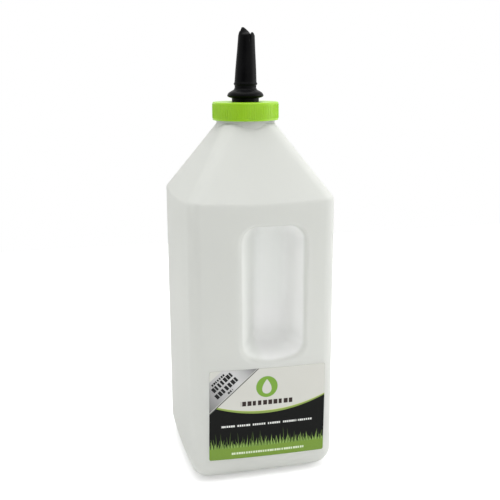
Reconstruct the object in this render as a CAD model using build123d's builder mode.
"""Calf feeding bottle: square bottle with pinch-grip recesses, screw cap and push-through rubber teat.

The bottle stands on the XY plane, +Z up, with its origin at the centre of its base.
The labelled front face looks along -Y. All sizes are in millimetres.
"""

from build123d import *
import os

# bottle body
corner_plane = 61.7         # half width of the bowed square at its sharp corners
face_crown = 2.0            # how far each face bows outward at its middle
edge_plane = 61.9           # half width at the shoulder planes' foot
corner_radius = 11.0
base_round = 18.0
shoulder_round = 4.0
wall = 1.8
shoulder_height = 241.0     # where the flat shoulder planes would meet the corners
neck_foot = 299.8           # top of the shoulder
neck_root = 288.0           # how far down the neck's cylinder is rooted in the shoulder
rim_height = 313.4
neck_radius = 25.0
neck_wall = 2.2
push_up_half = 38.0         # half width of the hollow under the base
push_up_rise = 4.0

# shoulder: four planes with round hips, a pyramid that the round neck rises from
shoulder_drop = 16.0        # how far the planes are carried down past the shoulder edge
shoulder_top_half = 22.7    # half width of the pyramid at the top of the shoulder
hip_foot_round = 9.0
hip_top_round = 12.0
shoulder_lean = (edge_plane - shoulder_top_half) / (neck_foot - shoulder_height)

# grip recess, the same in the front and the back face
grip_left = -21.0
grip_right = 36.0
grip_top = 220.5
grip_bottom = 110.0
grip_belly = 6.5            # how far the lower edge bows down between its corners
grip_depth = 38.0
grip_left_ramp = 21.5       # the gently sloped side
grip_right_ramp = 8.0       # the steep side
grip_end_ramp = 4.0
grip_floor_round = 9.0
grip_floor_corner = 12.0
grip_mouth_corners = (14.0, 18.0, 13.0)     # lower two, upper left, upper right
grip_mouth_round = 3.0

# neck finish and cap
thread_pitch = 6.0
thread_depth = 1.4
thread_root_width = 2.6
thread_crest_width = 1.0
thread_flank_gap = 0.35     # axial gap between the loaded flanks
thread_radial_gap = 0.4
thread_sink = 0.3           # how far a ridge is rooted in its wall
neck_thread_height = 304.6
neck_thread_turns = 1.25
cap_foot = 302.6
cap_top = 317.6
cap_radius = 28.5           # over the ribs
cap_rib_height = 0.3
cap_rib_count = 90
cap_plain_band = 1.6        # height without ribs at the cap's foot and top
cap_plate = 2.4
cap_edge_round = 0.8
cap_thread_first_turn = 0.45
cap_thread_turns = 1.1

# sealing washer between the cap and the rim
washer_gap = 0.3
washer_inner_radius = 18.5

# teat
teat_hole_radius = 11.6
teat_flange_radius = 17.0
teat_flange_thickness = 3.0
umbrella_foot = 320.8
umbrella_radius = 15.6
umbrella_lip = 322.8
umbrella_crown_radius = 13.3
umbrella_crown = 326.0
umbrella_top = 328.2
barrel_foot_radius = 9.2
bead_height = 332.6
bead_radius = 10.05
bead_half = 1.0
barrel_radius = 9.4
tip_radius = 6.9
tip_round = 2.5
tip_height = 379.2
bore_foot_radius = 7.0
bore_tip_radius = 4.0
tip_wall = 3.0
slit_length = 9.0
slit_width = 0.8

# label
label_middle = (2.6, 59.9)
label_width = 101.4
label_height = 79.9
label_tilt = -0.9           # degrees; the film is stuck on slightly low at its right end
label_corner = 1.5
label_thickness = 0.25

front_face = -(corner_plane + face_crown)
clear = 10.0                # how far cutting solids reach past what they cut


def turned(point, quarter_turns):
    """A plan point turned about the origin by a number of quarter turns."""
    return Vector(*point).rotate(Axis.Z, 90 * quarter_turns)


def bowed_square(inset):
    """Square plan with four outward-bowed sides and sharp corners, drawn inset from the outer form."""
    corner = corner_plane - inset
    middle = corner + face_crown
    with BuildSketch() as plan:
        with BuildLine():
            for side in range(4):
                ThreePointArc(
                    turned((corner, -corner), side),
                    turned((middle, 0), side),
                    turned((corner, corner), side),
                )
        make_face()
    return plan.sketch


def shoulder_envelope(inset):
    """Everything under the four shoulder planes and their round hips."""
    shift = inset * (1 + shoulder_lean**2) ** 0.5
    foot_width = 2 * (edge_plane + shoulder_drop * shoulder_lean - shift)
    top_width = 2 * (shoulder_top_half - shift)
    with BuildPart() as envelope:
        with BuildSketch(Plane.XY.offset(shoulder_height - shoulder_drop)):
            RectangleRounded(foot_width, foot_width, hip_foot_round - shift)
        with BuildSketch(Plane.XY.offset(neck_foot)):
            RectangleRounded(top_width, top_width, hip_top_round - shift)
        loft(ruled=True)
        extrude(envelope.faces().sort_by(Axis.Z)[0], amount=shoulder_height)
    return envelope.part


def grip_outline(depth, left, right, top, bottom, belly, rounds):
    """Grip outline at a depth behind the front face: flat top, round corners, bowed lower edge.

    The rounds are the radii of the lower corners, the upper left one and the upper right one.
    """
    middle = (left + right) / 2
    with BuildSketch(Plane.XZ.offset(-front_face - depth)) as outline:
        with BuildLine():
            Polyline((left, bottom), (left, top), (right, top), (right, bottom))
            ThreePointArc((right, bottom), (middle, bottom - belly), (left, bottom))
        make_face()
        lower = outline.vertices().group_by(Axis.Z)[0].sort_by(Axis.X)
        upper = outline.vertices().group_by(Axis.Z)[-1].sort_by(Axis.X)
        fillet(lower, rounds[0])
        fillet(upper[0], rounds[1])
        fillet(upper[1], rounds[2])
    return outline.sketch


def grip_recess(grow):
    """Solid that cuts the front grip: its sides slope in to a flat floor with round edges."""
    reach = clear / grip_depth
    mouth = grip_outline(
        -clear,
        grip_left - grow - reach * grip_left_ramp,
        grip_right + grow + reach * grip_right_ramp,
        grip_top + grow + reach * grip_end_ramp,
        grip_bottom - grow - reach * grip_end_ramp,
        grip_belly,
        [round_radius + grow for round_radius in grip_mouth_corners],
    )
    floor = grip_outline(
        grip_depth + grow,
        grip_left - grow + grip_left_ramp,
        grip_right + grow - grip_right_ramp,
        grip_top + grow - grip_end_ramp,
        grip_bottom - grow + grip_end_ramp,
        grip_belly / 2,
        [grip_floor_corner + grow] * 3,
    )
    with BuildPart() as recess:
        loft(sections=[mouth.face(), floor.face()], ruled=True)
        fillet(recess.faces().sort_by(Axis.Y)[-1].edges(), grip_floor_round + grow)
    return recess.part


def push_up(grow):
    """Shallow hollow under the base, which leaves a standing rim."""
    with BuildPart() as hollow:
        with BuildSketch(Plane.XY.offset(-clear)):
            foot_width = 2 * (push_up_half + clear + grow)
            RectangleRounded(foot_width, foot_width, corner_radius + grow)
        with BuildSketch(Plane.XY.offset(push_up_rise + grow)):
            top_width = 2 * (push_up_half - push_up_rise + grow)
            RectangleRounded(top_width, top_width, corner_radius + grow)
        loft(ruled=True)
    return hollow.part


def bottle_form(inset):
    """Body and shoulder up to the neck: the outer form, or the hollow inside when inset by the wall."""
    with BuildPart() as form:
        extrude(bowed_square(inset), amount=neck_foot - inset)
        split(bisect_by=Plane.XY.offset(inset), keep=Keep.TOP)
        fillet(form.edges().group_by(Axis.Z)[0], base_round - inset)
        corner_edges = form.edges().filter_by(
            lambda edge: abs(abs(edge.center().X) - abs(edge.center().Y)) < clear
        )
        fillet(corner_edges, corner_radius - inset)
        add(shoulder_envelope(inset), mode=Mode.INTERSECT)
        lowest_edge = shoulder_height - 2 * face_crown
        highest_edge = shoulder_height + 2 * face_crown
        shoulder_edges = form.edges().filter_by_position(Axis.Z, lowest_edge, highest_edge)
        fillet(shoulder_edges, shoulder_round - inset)
        add(push_up(inset), mode=Mode.SUBTRACT)
        recess = grip_recess(inset)
        add(recess, mode=Mode.SUBTRACT)
        add(mirror(recess, about=Plane.XZ, mode=Mode.PRIVATE), mode=Mode.SUBTRACT)
    return form.part


def thread_ridge(root_radius, reach, height, first_turn, turns):
    """Right-hand trapezoid ridge on a cylinder; a negative reach points inward, towards the axis.

    The height is that of the ridge's line where it would cross +X, and first_turn is how many
    turns later the ridge starts.
    """
    sink = thread_sink if reach > 0 else -thread_sink
    start = height + first_turn * thread_pitch
    with BuildPart() as ridge:
        with BuildLine() as path:
            Helix(thread_pitch, turns * thread_pitch, root_radius, center=(0, 0, start))
        section_plane = Plane(path.line @ 0, x_dir=(1, 0, 0), z_dir=path.line % 0)
        with BuildSketch(section_plane):
            with BuildLine():
                Polyline(
                    (-sink, -thread_root_width / 2),
                    (0, -thread_root_width / 2),
                    (reach, -thread_crest_width / 2),
                    (reach, thread_crest_width / 2),
                    (0, thread_root_width / 2),
                    (-sink, thread_root_width / 2),
                    close=True,
                )
            make_face()
        sweep(path=path.line, is_frenet=True)
    return ridge.part.rotate(Axis.Z, 360 * first_turn)


def grip_mouth_edges(form):
    """Edges where the two grip recesses meet the front and back faces."""
    near_face = -front_face - face_crown / 2
    return form.edges().filter_by(
        lambda edge: abs(edge.center().Y) > near_face
        and grip_bottom - clear < edge.center().Z < grip_top + clear / 2
        and grip_left - clear < edge.center().X < grip_right + clear
    )


# Bottle: hollow body with its grip recesses and the threaded neck.
with BuildPart() as bottle_body:
    add(bottle_form(0))
    fillet(grip_mouth_edges(bottle_body), grip_mouth_round)
    with BuildSketch(Plane.XY.offset(neck_root)):
        Circle(neck_radius)
    extrude(amount=rim_height - neck_root)
    add(bottle_form(wall), mode=Mode.SUBTRACT)
    with BuildSketch(Plane.XY.offset(neck_foot - neck_wall)):
        Circle(neck_radius - neck_wall)
    extrude(amount=rim_height - neck_foot + clear, mode=Mode.SUBTRACT)
    add(thread_ridge(neck_radius, thread_depth, neck_thread_height, 0, neck_thread_turns))
bottle_body.part.label = "bottle_body"

# Screw cap: ribbed ring with an internal thread and a plate with the hole for the teat.
cap_bore_radius = neck_radius + thread_depth + thread_radial_gap
cap_thread_reach = cap_bore_radius - neck_radius - thread_radial_gap
cap_thread_height = neck_thread_height - (thread_root_width + thread_crest_width) / 2 - thread_flank_gap
with BuildPart() as screw_cap:
    with BuildSketch(Plane.XY.offset(cap_foot)):
        Circle(cap_radius - cap_rib_height)
        Circle(cap_bore_radius, mode=Mode.SUBTRACT)
    extrude(amount=cap_top - cap_foot)
    with BuildSketch(Plane.XY.offset(cap_top - cap_plate)):
        Circle(cap_bore_radius)
        Circle(teat_hole_radius, mode=Mode.SUBTRACT)
    extrude(amount=cap_plate)
    rim_edge = screw_cap.edges().filter_by(GeomType.CIRCLE).group_by(Axis.Z)[-1].sort_by(SortBy.RADIUS)[-1]
    fillet(rim_edge, cap_edge_round)
    with BuildSketch(Plane.XY.offset(cap_foot + cap_plain_band)):
        with PolarLocations(cap_radius - cap_rib_height, cap_rib_count):
            Circle(cap_rib_height)
    extrude(amount=cap_top - cap_foot - 2 * cap_plain_band)
    add(thread_ridge(
        cap_bore_radius, -cap_thread_reach, cap_thread_height, cap_thread_first_turn, cap_thread_turns,
    ))
screw_cap.part.label = "screw_cap"

# Sealing washer: flat rubber ring between the rim of the neck and the cap's plate.
with BuildPart() as sealing_washer:
    with BuildSketch(Plane.XY.offset(rim_height + washer_gap)):
        Circle(neck_radius + thread_depth)
        Circle(washer_inner_radius, mode=Mode.SUBTRACT)
    extrude(amount=cap_top - cap_plate - rim_height - 2 * washer_gap)
sealing_washer.part.label = "sealing_washer"

# Teat: inner flange, groove for the cap's plate, umbrella flange, beaded barrel and slit tip.
flange_top = cap_top - cap_plate
flange_foot = flange_top - teat_flange_thickness
with BuildPart() as teat:
    with BuildSketch(Plane.XZ):
        with BuildLine():
            Polyline(
                (0, tip_height),
                (0, flange_foot),
                (teat_flange_radius, flange_foot),
                (teat_flange_radius, flange_top),
                (teat_hole_radius, flange_top),
                (teat_hole_radius, umbrella_foot),
                (umbrella_radius, umbrella_lip),
            )
            Spline(
                (umbrella_radius, umbrella_lip),
                (umbrella_crown_radius, umbrella_crown),
                (barrel_foot_radius, umbrella_top),
                tangents=((0, 1), (-1, 1)),
            )
            Line((barrel_foot_radius, umbrella_top), (barrel_foot_radius, bead_height - bead_half))
            ThreePointArc(
                (barrel_foot_radius, bead_height - bead_half),
                (bead_radius, bead_height),
                (barrel_radius, bead_height + bead_half),
            )
            Line((barrel_radius, bead_height + bead_half), (tip_radius, tip_height - tip_round))
            RadiusArc(
                (tip_radius, tip_height - tip_round),
                (tip_radius - tip_round, tip_height),
                -tip_round,
            )
            Line((tip_radius - tip_round, tip_height), (0, tip_height))
        make_face()
    revolve()
    with BuildSketch(Plane.XZ):
        with BuildLine():
            Polyline(
                (0, flange_foot - clear),
                (bore_foot_radius, flange_foot - clear),
                (bore_foot_radius, umbrella_top),
                (bore_tip_radius, tip_height - tip_wall),
                (0, tip_height - tip_wall),
                close=True,
            )
        make_face()
    revolve(mode=Mode.SUBTRACT)
    with BuildSketch(Plane.XY.offset(tip_height - 2 * tip_wall)):
        Rectangle(slit_length, slit_width)
    extrude(amount=3 * tip_wall, mode=Mode.SUBTRACT)
teat.part.label = "teat"

# Label: thin skin on the front face, under the grip.
with BuildPart() as label:
    add(bottle_form(-label_thickness))
    with BuildSketch(Plane.XZ):
        with Locations(Location(label_middle, label_tilt)):
            RectangleRounded(label_width, label_height, label_corner)
    extrude(amount=-front_face + clear, mode=Mode.INTERSECT)
    add(bottle_form(0), mode=Mode.SUBTRACT)
label.part.label = "label"

os.makedirs("parts", exist_ok=True)
for piece in (bottle_body, screw_cap, sealing_washer, teat, label):
    export_step(piece.part, f"parts/{piece.part.label}.step")
